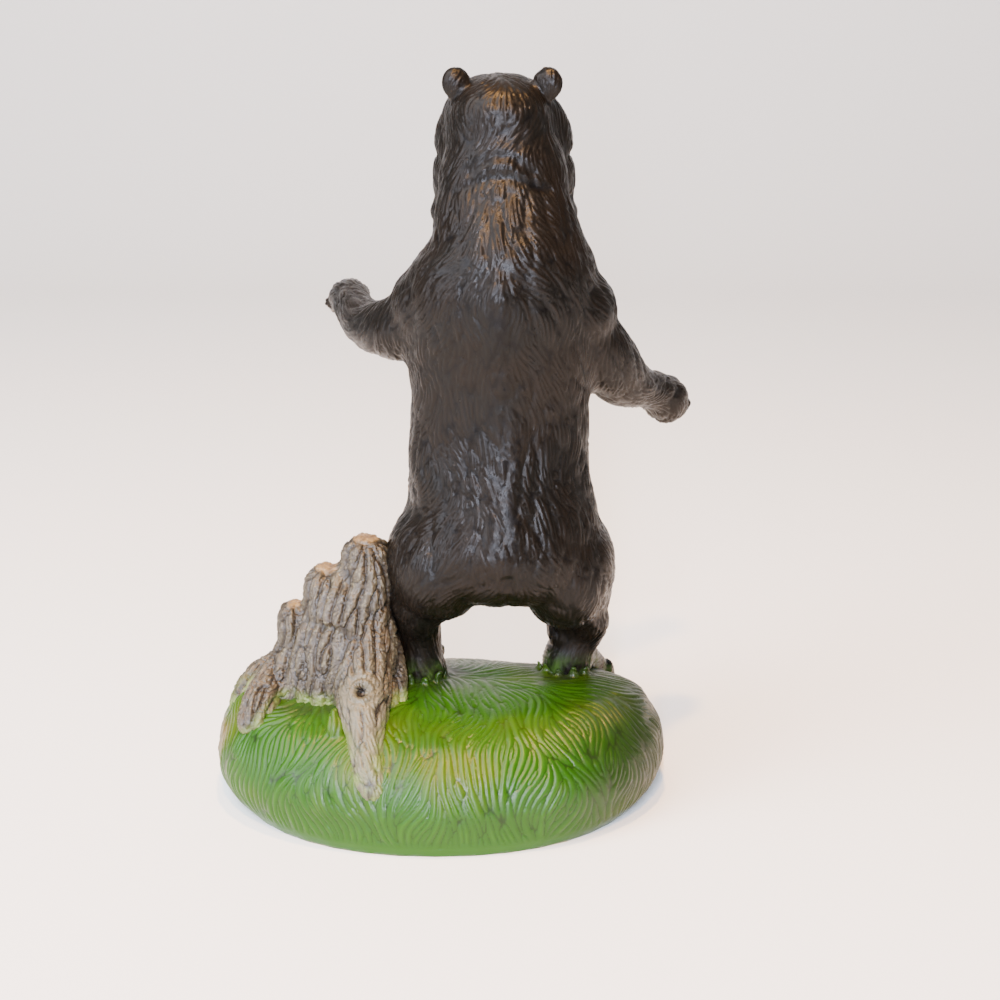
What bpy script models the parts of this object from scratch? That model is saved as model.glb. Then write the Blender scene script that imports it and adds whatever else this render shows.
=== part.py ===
"""A ceramic bear figurine: a bear on its hind legs, cast in one with its grassy mound and a broken stump.

The face looks along -Y, +Z is up, and the origin is the middle of the flat underside.
Lengths are in metres. The tables of the bear are in its own units, millimetres at its modelled height.
"""

import math

import bmesh
import bpy
import numpy as np
from mathutils import Matrix, Vector
from mathutils.bvhtree import BVHTree

MM = 0.001

# The mound that everything stands on.
MOUND_WIDTH = 0.197
MOUND_DEPTH = 0.149
MOUND_HEIGHT = 0.050

# The bear, from the ground between its feet to its ear tips.
BEAR_HEIGHT = 0.256
BEAR_OFFSET = 0.026
HEAD_TILT = 8.0
EYE_RADIUS = 0.0026
CLAW_LENGTH = 0.0075
CLAW_RADIUS = 0.0021

# The broken trunk beside it, from the mound's crown to its tallest splinter.
STUMP_HEIGHT = 0.066
STUMP_OFFSET = 0.046
STUMP_SPREAD = 0.050
BARK_RIDGE = 0.0068
BARK_DEPTH = 0.0016

# How the clay is worked.
CLAY_GRAIN = 0.0014
DETAIL_GRAIN = 0.0010
JOIN_BLEND = 0.0063
DETAIL_BLEND = 0.0014
TRIANGLES = 9800
RING_SIDES = 40

BEAR_UNITS = 256.0
STUMP_UNITS = 66.0
STUMP_PLAN_UNITS = 50.0


def smooth_rows(keys, steps=5):
    """Rows on a smooth curve through the key rows."""
    keys = np.array(keys, float)
    ends = [2 * keys[0] - keys[1], 2 * keys[-1] - keys[-2]]
    padded = np.vstack([ends[0], keys, ends[1]])
    rows = []
    for i in range(len(keys) - 1):
        before, start, end, after = padded[i : i + 4]
        for t in np.arange(steps) / steps:
            rows.append(
                start
                + 0.5 * t * (end - before)
                + t * t * (before - 2.5 * start + 2 * end - 0.5 * after)
                + t**3 * (1.5 * (start - end) + 0.5 * (after - before))
            )
    rows.append(keys[-1])
    return np.array(rows)


def section(centre, side, up, down, roundness=2.0):
    """A closed ring of points: half as wide as side, reaching up on one side and down on the other."""
    angles = np.arange(RING_SIDES) * (2 * math.pi / RING_SIDES)
    across, along = np.cos(angles), np.sin(angles)
    power = 2 / roundness
    across = np.sign(across) * np.abs(across) ** power
    along = np.sign(along) * np.abs(along) ** power
    height = np.where((along > 0)[:, None], along[:, None] * up, -along[:, None] * down)
    return np.asarray(centre) + across[:, None] * side + height


def add_rings(clay, rings):
    """Skins a stack of rings and closes both ends."""
    loops = [[clay.verts.new(p) for p in ring] for ring in rings]
    for low, high in zip(loops, loops[1:]):
        for i in range(RING_SIDES):
            j = (i + 1) % RING_SIDES
            clay.faces.new((low[i], low[j], high[j], high[i]))
    for loop, ring in ((loops[0], rings[0]), (loops[-1], rings[-1])):
        pole = clay.verts.new(np.mean(ring, axis=0))
        for i in range(RING_SIDES):
            clay.faces.new((loop[i], loop[(i + 1) % RING_SIDES], pole))


def add_ball(clay, centre, radii, turn=(0, 0, 0)):
    """An ellipsoid, turned by angles about X, Y and Z in degrees."""
    rotation = Matrix.Identity(3)
    for angle, axis in zip(turn, "XYZ"):
        rotation = Matrix.Rotation(math.radians(angle), 3, axis) @ rotation
    side, back, up = (rotation @ Vector(axis) for axis in Matrix.Diagonal(radii))
    rings = []
    for latitude in np.radians(np.linspace(-84, 84, 15)):
        reach = math.cos(latitude)
        middle = np.array(Vector(centre) + up * math.sin(latitude))
        rings.append(section(middle, np.array(side) * reach, np.array(back) * reach, -np.array(back) * reach))
    add_rings(clay, rings)


def add_limb(clay, keys, blunt=0.8):
    """A tube through rows of x, y, z, half width and half thickness, with rounded ends."""
    rows = smooth_rows(keys)
    centres = rows[:, :3]
    tangents = np.gradient(centres, axis=0)
    tangents /= np.linalg.norm(tangents, axis=1)[:, None]
    rings = []

    def ring_at(row, tangent, shift=0.0, scale=1.0):
        side = np.cross(tangent, (0, 0, 1.0))
        if np.linalg.norm(side) < 0.2:
            side = np.array((1.0, 0, 0))
        side /= np.linalg.norm(side)
        up = np.cross(side, tangent)
        reach = row[:3] + tangent * shift
        rings.append(
            section(reach, side * row[3] * scale, up * row[4] * scale, -up * row[4] * scale)
        )

    caps = np.radians((80, 60, 40, 20))
    for angle in caps:
        ring_at(rows[0], tangents[0], -rows[0, 4] * blunt * math.sin(angle), math.cos(angle))
    for row, tangent in zip(rows, tangents):
        ring_at(row, tangent)
    for angle in caps[::-1]:
        ring_at(rows[-1], tangents[-1], rows[-1, 4] * blunt * math.sin(angle), math.cos(angle))
    add_rings(clay, rings)


def worked(clay, grain, blend):
    """The clay as one skin of even grain, its joins smoothed over that length. The loose clay is used up."""
    mesh = bpy.data.meshes.new("clay")
    clay.to_mesh(mesh)
    clay.free()
    lump = bpy.data.objects.new("clay", mesh)
    bpy.context.scene.collection.objects.link(lump)
    remesh = lump.modifiers.new("one skin", "REMESH")
    remesh.mode = "VOXEL"
    remesh.voxel_size = grain
    smooth = lump.modifiers.new("smoothed joins", "SMOOTH")
    smooth.factor = 0.5
    smooth.iterations = round((blend / grain) ** 2)
    graph = bpy.context.evaluated_depsgraph_get()
    skin = bmesh.new()
    skin.from_object(lump, graph)
    bpy.data.objects.remove(lump)
    bpy.data.meshes.remove(mesh)
    return skin


def points_of(skin):
    """The skin's points and outward normals as arrays."""
    skin.normal_update()
    places = np.array([v.co for v in skin.verts])
    normals = np.array([v.normal for v in skin.verts])
    return places, normals


def move_points(skin, places):
    for vert, place in zip(skin.verts, places):
        vert.co = place


def away_from_path(places, path):
    """Each point's distance from a line through the path's points."""
    nearest = np.full(len(places), np.inf)
    path = np.asarray(path, float)
    for start, end in zip(path, path[1:]):
        run = end - start
        share = np.clip((places - start) @ run / (run @ run), 0, 1)
        gap = np.linalg.norm(places - start - share[:, None] * run, axis=1)
        nearest = np.minimum(nearest, gap)
    return nearest


def press(places, normals, path, width, depth):
    """Presses a soft groove of that width into the skin along a path, or raises it where depth is negative."""
    gap = away_from_path(places, path) / (width / 2)
    profile = np.where(gap < 1, (1 - gap**2) ** 2, 0)
    places -= normals * (depth * profile)[:, None]


def mound_mass():
    """The grassy mound: a flat underside, a tucked-in rim, steep at the face side and a long slope behind."""
    clay = bmesh.new()
    half_x, half_y = MOUND_WIDTH / 2, MOUND_DEPTH / 2
    # Height as a share of the mound's, then the reach sideways, behind and in front as shares of the half sizes.
    profile = (
        (-0.08, 0.820, 0.940, 0.890),
        (0.00, 0.885, 0.972, 0.940),
        (0.16, 0.968, 0.992, 0.985),
        (0.36, 1.000, 1.000, 0.970),
        (0.56, 0.985, 0.950, 0.850),
        (0.72, 0.940, 0.860, 0.680),
        (0.85, 0.900, 0.710, 0.480),
        (0.94, 0.805, 0.500, 0.300),
        (0.99, 0.540, 0.260, 0.140),
        (1.00, 0.200, 0.080, 0.040),
    )
    plan_roundness = 2.15
    rings = []
    for height, sideways, behind, front in smooth_rows(profile, 4):
        rings.append(
            section(
                (0, 0, height * MOUND_HEIGHT),
                np.array((half_x * sideways, 0, 0)),
                np.array((0, half_y * behind, 0)),
                np.array((0, -half_y * front, 0)),
                plan_roundness,
            )
        )
    add_rings(clay, rings)
    return clay


class Ground:
    """The mound's surface, asked for its height."""

    def __init__(self):
        clay = mound_mass()
        self.tree = BVHTree.FromBMesh(clay)
        clay.free()

    def height(self, x, y):
        hit = self.tree.ray_cast(Vector((x, y, 2 * MOUND_HEIGHT)), Vector((0, 0, -1)))[0]
        return hit.z if hit else 0.0


class Bear:
    """Places the bear's own millimetres in the figurine: x from its middle, z from the mound's crown."""

    scale = BEAR_HEIGHT / BEAR_UNITS
    feet = np.array((-BEAR_OFFSET, 0, MOUND_HEIGHT))
    skull = (0, -20, 228)

    @classmethod
    def at(cls, x, y, z):
        return Vector(cls.feet + cls.scale * np.array((x, y, z)))

    @classmethod
    def rows(cls, keys):
        return [(*cls.at(*key[:3]), *(cls.scale * r for r in key[3:])) for key in keys]

    @classmethod
    def in_head(cls, x, y, z):
        """A point of the level head, lifted by the head's tilt."""
        lift = Matrix.Rotation(math.radians(-HEAD_TILT), 3, "X")
        middle = Vector(cls.skull)
        return cls.at(*(lift @ (Vector((x, y, z)) - middle) + middle))


def add_torso(clay):
    # Height, middle, half width, reach of the back and reach of the belly.
    rows = (
        (37, -2, 20, 17, 10),
        (41, -1, 33, 28, 20),
        (49, 0, 42.5, 37.5, 30),
        (60, 0, 44.5, 40.5, 37),
        (70, 0, 43, 38.5, 40.5),
        (80, -0.8, 40, 34.5, 41.5),
        (95, 0.7, 38.6, 29.5, 40),
        (110, 0.3, 37.9, 26.5, 37),
        (126, 0, 37.6, 26.5, 35.5),
        (142, 0, 38.8, 29, 36),
        (156, 0, 39.5, 32, 36),
        (168, 0, 40, 33, 33.5),
        (180, -1.5, 37.8, 31.5, 30),
        (189, -3.4, 32.2, 28.5, 28),
        (200, -2, 29, 22.5, 28),
        (210, -1.5, 26, 17, 30),
        (219, -1.5, 23, 12.8, 28),
        (229, -1, 18, 8.5, 24),
    )
    rings = []
    for height, middle, half_width, back, belly in smooth_rows(rows, 4):
        rings.append(
            section(
                Bear.at(middle, 0, height),
                np.array((Bear.scale * half_width, 0, 0)),
                np.array((0, Bear.scale * back, 0)),
                np.array((0, -Bear.scale * belly, 0)),
                2.15,
            )
        )
    add_rings(clay, rings)


def add_chest_and_nape(clay):
    for centre, radii in (
        ((-0.5, 11, 170), (25, 22.5, 27)),
        ((-1.5, -4, 210), (27, 19.5, 31)),
        ((-1, -17, 200), (27, 19, 28)),
        ((0, -20, 84), (34, 23.5, 34)),
        ((-0.5, -15, 160), (35, 22.5, 28)),
        ((-0.5, -20, 178), (24, 17, 24)),
    ):
        add_ball_of_bear(clay, centre, radii)


def add_ball_of_bear(clay, centre, radii, turn=(0, 0, 0)):
    add_ball(clay, Bear.at(*centre), [Bear.scale * r for r in radii], turn)


def add_haunches_and_legs(clay, ground):
    add_ball_of_bear(clay, (26.2, 3, 54), (22.8, 33, 27))
    add_ball_of_bear(clay, (-28, -1, 50), (22, 32, 28))
    left_leg = (
        (35, 0, 36, 15, 21),
        (35.2, -2, 27, 11.4, 18),
        (35.2, -3, 18, 10.2, 14),
        (35, -2.5, 9, 10.3, 12.5),
        (34, -2, 2, 11.5, 13),
    )
    right_leg = (
        (-34, -6, 38, 15.5, 22),
        (-34.8, -9, 28, 13, 18),
        (-33, -11, 18, 11.4, 14.5),
        (-31, -11.5, 9, 11, 12.5),
        (-29.8, -12, 1, 12, 13),
    )
    for leg in (left_leg, right_leg):
        add_limb(clay, Bear.rows(leg))
    for heel, turn in FEET:
        add_limb(clay, foot_rows(ground, heel, turn))


FOOT_LENGTH = 37.0
BALL_OF_FOOT = 24.0
FEET = (((34.5, -1.0), 6.0), ((-28.8, -12.0), -21.0))


def foot_point(ground, heel, turn, along, across, height):
    """A point of a foot, along it from the heel and across it, at a height above the sole's line."""
    angle = math.radians(turn)
    ahead = np.array((math.sin(angle), -math.cos(angle)))
    aside = np.array((math.cos(angle), math.sin(angle)))
    under_heel = Bear.at(*heel, 0)
    under_ball = Bear.at(*(np.array(heel) + ahead * BALL_OF_FOOT), 0)
    fall = ground.height(under_ball.x, under_ball.y) - ground.height(under_heel.x, under_heel.y)
    place = Bear.at(*(np.array(heel) + ahead * along + aside * across), 0)
    sole = ground.height(under_heel.x, under_heel.y) + fall * along / BALL_OF_FOOT
    place.z = sole + Bear.scale * height
    return place


def foot_rows(ground, heel, turn):
    # Along the foot, height of its middle, half width and half thickness.
    rows = (
        (0, 6, 10.5, 9),
        (10, 6, 10.8, 9.5),
        (20, 4, 11.5, 8.5),
        (FOOT_LENGTH - 9, 1.5, 12, 7.5),
    )
    return [
        (*foot_point(ground, heel, turn, along, 0, height), Bear.scale * wide, Bear.scale * thick)
        for along, height, wide, thick in rows
    ]


LEFT_ARM = (
    (28, -3, 156, 17, 17),
    (42, -12, 150.5, 14.5, 14.5),
    (54, -25, 148.5, 11.6, 11.6),
    (61, -38, 151, 10, 10),
    (65, -51, 154.5, 9.2, 8.8),
    (66.8, -61, 154.5, 10.2, 9),
    (67.3, -67, 151.5, 9.6, 8),
)
RIGHT_ARM = (
    (-28, -3, 152, 18, 18),
    (-41.5, -12, 139, 15.4, 16),
    (-52, -24, 126, 12.6, 12.6),
    (-61, -35, 119.5, 9.9, 9.9),
    (-68.5, -44, 116, 9.2, 9.2),
    (-73.2, -51, 111.5, 11, 10.6),
    (-74.6, -56, 107, 10.6, 10.2),
)


def add_arms(clay):
    add_ball_of_bear(clay, (30, -3, 162), (15.5, 20, 17))
    add_ball_of_bear(clay, (-32, -3, 160), (17, 20, 18))
    for arm in (LEFT_ARM, RIGHT_ARM):
        add_limb(clay, Bear.rows(arm))


def add_head(clay):
    # Distance behind the middle, height of the section's middle, half width and half height.
    rows = (
        (9.5, 233, 5, 5),
        (8, 233, 11, 12),
        (4, 233, 16.5, 17),
        (-2, 232.5, 20.5, 20.5),
        (-10, 232, 23, 22.6),
        (-20, 231, 24.4, 23.4),
        (-30, 228.5, 24.6, 23.2),
        (-38, 224.5, 21.4, 20.8),
        (-44, 220.5, 16.4, 16),
        (-51, 217.8, 13, 13),
        (-60, 217, 11, 11),
        (-66, 217.4, 8.8, 8.6),
        (-69, 218, 5.2, 5.2),
    )
    rings = []
    for along, height, half_width, half_height in smooth_rows(rows, 4):
        centre = Bear.in_head(0, along, height)
        top = Bear.in_head(0, along, height + half_height) - centre
        rings.append(
            section(
                centre,
                np.array((Bear.scale * half_width, 0, 0)),
                np.array(top),
                -np.array(top),
                2.3,
            )
        )
    add_rings(clay, rings)
    for side in (1, -1):
        ruff = (
            (side * 15.5 - 1.3, -15, 240, 8, 9),
            (side * 18 - 1.5, -19, 228, 10.5, 13),
            (side * 18.6 - 1.6, -20, 214, 11.2, 15),
            (side * 16.5 - 1.6, -17, 200, 13, 16),
            (side * 12 - 1.5, -13, 188, 14, 15),
        )
        add_limb(clay, [(*Bear.in_head(*key[:3]), *(Bear.scale * r for r in key[3:])) for key in ruff])
        for centre, radii in (
            ((side * 9, -36, 241), (8.5, 9, 6)),
            ((side * 13, -35, 217), (10, 13, 12)),
            ((side * 5.5, -55, 214), (7, 10, 6.6)),
        ):
            add_ball(clay, Bear.in_head(*centre), [Bear.scale * r for r in radii])
    add_ball(clay, Bear.in_head(0, -46, 206.5), [Bear.scale * r for r in (9.5, 17, 6.5)])


EARS = ((17.0, 1), (-18.8, -1))


def add_ears(clay):
    for x, side in EARS:
        centre = Bear.in_head(x, -11, 251)
        add_ball(clay, centre, [Bear.scale * r for r in (6.4, 4.4, 7.4)], (0, side * 18, side * 14))


def add_face(clay):
    add_ball(clay, Bear.in_head(0, -67.5, 222.5), [Bear.scale * r for r in (5.8, 4, 4.2)])
    for side in (1, -1):
        add_ball(clay, Bear.in_head(side * 10.2, -44.2, 231), [EYE_RADIUS * 1.15] * 3)


def add_claw(clay, root, direction, droop):
    """A curved claw that leaves its toe in a direction and droops."""
    direction = Vector(direction).normalized()
    rows = []
    for t in (0.0, 0.3, 0.6, 0.85, 1.0):
        place = Vector(root) + direction * (CLAW_LENGTH * t)
        place.z -= droop * CLAW_LENGTH * t * t
        radius = CLAW_RADIUS * (1 - 0.55 * t)
        rows.append((*place, radius, radius * 1.15))
    add_limb(clay, rows)


def add_hind_toes(clay, ground):
    """Five toes with claws across the front of each foot."""
    for heel, turn in FEET:
        for k in range(-2, 3):
            across = 4.9 * k
            along = FOOT_LENGTH - 3.0 - 0.9 * k * k
            toe = foot_point(ground, heel, turn, along, across, 2.2)
            add_ball(clay, toe, [Bear.scale * r for r in (3.2, 4.6, 3.8)], (0, 0, -turn))
            tip = foot_point(ground, heel, turn, along + 6, across * 1.12, -1.0)
            root = foot_point(ground, heel, turn, along + 2.6, across * 1.04, 2.2)
            add_claw(clay, root, tip - root, 0.10)


def add_fingers(clay):
    """Five fingers with claws at the end of each arm."""
    for arm, fall in ((LEFT_ARM, 0.5), (RIGHT_ARM, -0.1)):
        wrist, palm = np.array(arm[-2][:3]), np.array(arm[-1][:3])
        ahead = palm - wrist
        ahead /= np.linalg.norm(ahead)
        ahead = ahead + np.array((-0.9 * ahead[0], -0.8, -fall))
        ahead /= np.linalg.norm(ahead)
        across = np.cross(ahead, (0, 0, 1.0))
        across /= np.linalg.norm(across)
        for k in range(-2, 3):
            finger = palm + across * 4.1 * k + ahead * (5.2 - 0.7 * k * k)
            add_ball(clay, Bear.at(*finger), [Bear.scale * 3.5] * 3)
            root = Bear.at(*(finger + ahead * 2.0))
            add_claw(clay, root, Vector(ahead), 0.15)


def stump_rows(keys):
    """Rows of the trunk in the figurine: heights over the mound's crown, plan measured from the trunk's middle."""
    tall = STUMP_HEIGHT / STUMP_UNITS
    wide = STUMP_SPREAD / STUMP_PLAN_UNITS
    return [
        (
            STUMP_OFFSET + wide * x,
            wide * y,
            MOUND_HEIGHT + (tall * z if z > 0 else MM * z),
            wide * half_width,
            wide * half_depth,
        )
        for x, y, z, half_width, half_depth in keys
    ]


# Each splinter of the broken trunk, from its foot to its top: x, y, z, half width, half depth.
SPLINTERS = (
    (
        (-16, 2, -18, 18.5, 22),
        (-15, 2, 6, 15.6, 19),
        (-15.2, 2, 34, 12.2, 16.5),
        (-15, 3, 52, 10.8, 13),
        (-15, 4, 57.5, 10.4, 10),
    ),
    (
        (2, 1, -18, 16, 22),
        (3, 1, 6, 11, 18.5),
        (3.5, 1, 28, 9, 16),
        (3.5, 2, 40, 8.6, 13),
        (3.5, 3, 42.5, 8.2, 11),
    ),
    (
        (14, 0, -18, 14, 19),
        (15.5, 0, 2, 9, 15.5),
        (17, 0, 16, 7.4, 13),
        (17.2, 1, 25, 7, 11.5),
        (17.2, 1, 27.5, 6.6, 10),
    ),
)
# The wood that joins each two splinters, up to the notch between them.
WALLS = (
    (
        (-6, 1, -18, 24, 21),
        (-6, 1, 20, 20, 17.5),
        (-6, 2, 36, 17.5, 14.5),
        (-6, 2.5, 43, 16, 11.5),
    ),
    (
        (9, 0, -18, 20, 19),
        (9.5, 0, 8, 15.5, 15),
        (10, 0.5, 20, 13.5, 12),
        (10.2, 1, 26, 12.5, 10),
    ),
    (
        (-3, 6, -18, 30, 23),
        (-3, 6, 8, 25, 20),
        (-5, 5, 24, 20.5, 17.5),
        (-8, 5, 38, 15, 14),
    ),
)
# Each root from the trunk down into the grass.
ROOTS = (
    (
        (-14, 8, 26, 12, 12),
        (-14, 22, 9, 12.5, 12),
        (-15, 36, -1, 11.5, 11),
        (-16.5, 46, -8, 9, 8.8),
        (-17.5, 55, -14, 8, 7.6),
        (-19.5, 62, -20, 7.2, 6.8),
        (-21, 66, -25, 5.6, 5),
    ),
    (
        (-21, 6, 18, 9, 9),
        (-25.5, 15, 5, 7, 7),
        (-28, 23, -3, 5.6, 5.6),
        (-30, 30, -9, 4, 4),
    ),
    (
        (18, 4, 10, 8, 9),
        (25, 13, 1, 8, 8.5),
        (29.5, 21, -5, 8.4, 8.4),
        (32, 28, -12, 7.6, 7.4),
    ),
    (
        (24, -10, 0, 8, 8),
        (33, -5, -5, 8.2, 8.2),
        (38, 2, -11, 7.6, 7.6),
        (40, 7, -17, 6, 6),
    ),
    (
        (-4, -8, 14, 11, 11),
        (-2, -24, -2, 9, 9),
        (0, -40, -13, 6.5, 7),
        (2, -51, -23, 4.5, 5),
    ),
)


def add_stump(clay):
    for wood in (*SPLINTERS, *WALLS):
        add_limb(clay, stump_rows(wood), 0.72)
    for root in ROOTS:
        add_limb(clay, stump_rows(root))


def bark_weight(places, ground):
    """Close to 1 on the trunk and its roots and 0 elsewhere."""
    gap = np.full(len(places), np.inf)
    for keys in (*SPLINTERS, *WALLS, *ROOTS):
        rows = smooth_rows(stump_rows(keys))
        for row in rows:
            away = np.linalg.norm((places - row[:3]) / (row[3], row[4], row[4]), axis=1)
            gap = np.minimum(gap, away)
    bear_side = places[:, 0] < STUMP_OFFSET - 0.46 * STUMP_SPREAD
    over_grass = places[:, 2] - np.array([ground.height(x, y) for x, y, _ in places]) > 0.0012
    return np.clip((1.35 - gap) * 5, 0, 1) * over_grass * ~bear_side


def carve_bark(places, normals, weight):
    """Long ridges that wander up the trunk and pinch off, as old bark has."""
    turn = np.arctan2(places[:, 1], places[:, 0] - STUMP_OFFSET)
    round_trunk = turn * STUMP_SPREAD / 2
    wander = 0.9 * np.sin(places[:, 2] / 0.0115 + 2.1 * np.sin(turn * 2)) + 0.5 * np.sin(
        places[:, 2] / 0.0052 + turn * 5
    )
    phase = round_trunk * (2 * math.pi / BARK_RIDGE) + wander
    ridge = np.abs(np.sin(phase / 2)) ** 0.7 - 0.55
    places += normals * (ridge * BARK_DEPTH * weight)[:, None]


def carve_bear(places, normals):
    """The creases that show from a step away: the nape's folds, the spine, the mouth and the eye sockets."""

    def line(points, width, depth, place=Bear.at):
        press(places, normals, [place(*p) for p in points], width * Bear.scale, depth * Bear.scale)

    for height, reach in ((226, 13), (217, 18)):
        across = np.linspace(-reach, reach, 9)
        arch = [Bear.at(x, 20 - 0.03 * x * x, height - 8 * (x / reach) ** 2) for x in across]
        fold = [places[np.linalg.norm(places - np.array(p), axis=1).argmin()] for p in arch]
        press(places, normals, fold, 6 * Bear.scale, 0.9 * Bear.scale)
    line([(1, 33, 168), (0, 28, 140), (-2, 26, 118), (-2, 34, 84), (-1, 40, 66)], 26, -1.6)
    line([(-3, 41, 56), (-4, 40, 48), (-5, 30, 39)], 8, 1.5)
    head = Bear.in_head
    for side in (1, -1):
        line([(side * 1.2, -69, 214), (side * 7, -63, 210.8), (side * 10.4, -53, 209.8), (side * 13, -44, 212)], 3, 1.5, head)
        line([(side * 3, -71.5, 222.5), (side * 5, -69.5, 222)], 3, 1.3, head)
        line([(side * 16.5, -17, 251), (side * 17.5, -17, 253)], 8.5, 3.0, head)
    line([(0, -70, 219), (0, -70, 214)], 2.4, 1.0, head)
    line([(0, -45, 232), (0, -36, 243)], 9, 1.2, head)


def carve_knot(places, normals):
    """The old knot on the big root, a ring round a hole."""
    x, y, z, _, thick = stump_rows([ROOTS[0][2]])[0]
    eye = np.array((x, y + thick * 0.35, z + thick * 0.94))
    away = np.linalg.norm(places - eye, axis=1)
    places -= normals * (0.0030 * np.exp(-((away / 0.0030) ** 2)))[:, None]
    ring = 0.0010 * np.exp(-(((away - 0.0062) / 0.0018) ** 2))
    places += normals * ring[:, None]


def finished(skin):
    """The skin cut flat underneath, thinned to the wanted number of faces, as one closed body."""
    cut = bmesh.ops.bisect_plane(
        skin,
        geom=[*skin.verts, *skin.edges, *skin.faces],
        plane_co=(0, 0, 0),
        plane_no=(0, 0, 1),
        clear_inner=True,
    )
    rim = [e for e in cut["geom_cut"] if isinstance(e, bmesh.types.BMEdge)]
    bmesh.ops.edgenet_fill(skin, edges=rim)
    bmesh.ops.recalc_face_normals(skin, faces=skin.faces)
    bmesh.ops.triangulate(skin, faces=skin.faces)
    mesh = bpy.data.meshes.new("bear_figurine")
    skin.to_mesh(mesh)
    figurine = bpy.data.objects.new("bear_figurine", mesh)
    bpy.context.scene.collection.objects.link(figurine)
    thin = figurine.modifiers.new("thinned", "DECIMATE")
    thin.ratio = TRIANGLES / len(skin.faces)
    skin.clear()
    skin.from_object(figurine, bpy.context.evaluated_depsgraph_get())
    figurine.modifiers.remove(thin)
    for vert in skin.verts:
        if vert.co.z < 0.0002:
            vert.co.z = 0
    bmesh.ops.recalc_face_normals(skin, faces=skin.faces)
    skin.to_mesh(mesh)
    skin.free()
    mesh.shade_smooth()
    mesh.set_sharp_from_angle(angle=math.radians(50))
    return figurine


def painted_ceramic():
    """Satin-sealed ceramic in the bear's near-black brown, which covers most of the figurine."""
    material = bpy.data.materials.new("painted_ceramic")
    material.use_nodes = True
    shader = material.node_tree.nodes["Principled BSDF"]
    shader.inputs["Base Color"].default_value = (0.030, 0.023, 0.019, 1)
    shader.inputs["Roughness"].default_value = 0.42
    shader.inputs["Metallic"].default_value = 0.0
    return material


def main():
    for obj in list(bpy.data.objects):
        bpy.data.objects.remove(obj)
    ground = Ground()

    clay = mound_mass()
    add_torso(clay)
    add_chest_and_nape(clay)
    add_haunches_and_legs(clay, ground)
    add_arms(clay)
    add_head(clay)
    add_stump(clay)
    clay = worked(clay, CLAY_GRAIN, JOIN_BLEND)

    add_ears(clay)
    add_face(clay)
    add_hind_toes(clay, ground)
    add_fingers(clay)
    skin = worked(clay, DETAIL_GRAIN, DETAIL_BLEND)

    places, normals = points_of(skin)
    carve_bear(places, normals)
    carve_bark(places, normals, bark_weight(places, ground))
    carve_knot(places, normals)
    move_points(skin, places)

    figurine = finished(skin)
    figurine.data.materials.append(painted_ceramic())


main()
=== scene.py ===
"""The painted ceramic bear, with its fur, grass and bark cut into the clay and then painted.

The face looks along -Y, +Z is up, and the origin is the middle of the flat underside.
Lengths are in metres. The tables of the bear are in its own units, millimetres at its modelled height.
"""

import math

import bmesh
import bpy
import numpy as np
from mathutils import Matrix, Vector, noise
from mathutils.bvhtree import BVHTree
from mathutils.kdtree import KDTree

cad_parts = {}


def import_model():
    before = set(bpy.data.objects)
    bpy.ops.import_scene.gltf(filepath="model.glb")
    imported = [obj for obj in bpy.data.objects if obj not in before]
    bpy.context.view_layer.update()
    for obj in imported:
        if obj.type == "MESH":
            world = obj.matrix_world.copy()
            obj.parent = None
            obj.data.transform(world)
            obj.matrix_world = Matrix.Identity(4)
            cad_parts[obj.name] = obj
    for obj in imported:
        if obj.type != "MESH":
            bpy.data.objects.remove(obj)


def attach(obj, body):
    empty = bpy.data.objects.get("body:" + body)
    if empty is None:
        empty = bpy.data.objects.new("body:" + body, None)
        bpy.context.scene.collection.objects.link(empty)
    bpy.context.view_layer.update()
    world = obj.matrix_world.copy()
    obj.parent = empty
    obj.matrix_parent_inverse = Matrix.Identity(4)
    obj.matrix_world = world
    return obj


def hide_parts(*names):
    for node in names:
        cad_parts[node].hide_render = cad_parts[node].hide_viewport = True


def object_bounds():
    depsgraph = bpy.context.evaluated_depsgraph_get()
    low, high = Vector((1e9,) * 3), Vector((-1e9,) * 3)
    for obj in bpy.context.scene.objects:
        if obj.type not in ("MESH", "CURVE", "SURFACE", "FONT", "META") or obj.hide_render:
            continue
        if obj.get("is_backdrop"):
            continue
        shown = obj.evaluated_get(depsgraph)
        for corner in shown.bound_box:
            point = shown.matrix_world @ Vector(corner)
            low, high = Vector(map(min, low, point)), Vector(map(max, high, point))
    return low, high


MM = 0.001

# The mound that everything stands on.
MOUND_WIDTH = 0.197
MOUND_DEPTH = 0.149
MOUND_HEIGHT = 0.050

# The bear, from the ground between its feet to its ear tips.
BEAR_HEIGHT = 0.256
BEAR_OFFSET = 0.026
HEAD_TILT = 8.0
EYE_RADIUS = 0.0026
CLAW_LENGTH = 0.0067
CLAW_RADIUS = 0.0021

# The broken trunk beside it, from the mound's crown to its tallest splinter.
STUMP_HEIGHT = 0.066
STUMP_OFFSET = 0.046
STUMP_SPREAD = 0.050

# How the clay is worked: one grain for joining, then finer ones that hold the tool marks.
CLAY_GRAIN = 0.0014
JOIN_BLEND = 0.0063
DETAIL_BLEND = 0.0014
FUR_GRAIN = 0.00048
GRASS_GRAIN = 0.00055
BARK_GRAIN = 0.00042
RING_SIDES = 40

# The tool marks in metres: how far apart, how long and how high, matched.
LOCK_GAP, LOCK_LENGTH, LOCK_HEIGHT = 0.0080, 0.030, 0.0007
HAIR_GAP, HAIR_LENGTH, HAIR_HEIGHT = 0.0018, 0.019, 0.00052
GRASS_GAP, GRASS_LENGTH, GRASS_HEIGHT = 0.0025, 0.040, 0.0007
BARK_GAP, BARK_LENGTH, BARK_HEIGHT = 0.0047, 0.055, 0.0019
SPLIT_GAP, SPLIT_LENGTH, SPLIT_HEIGHT = 0.0017, 0.010, 0.0006

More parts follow.
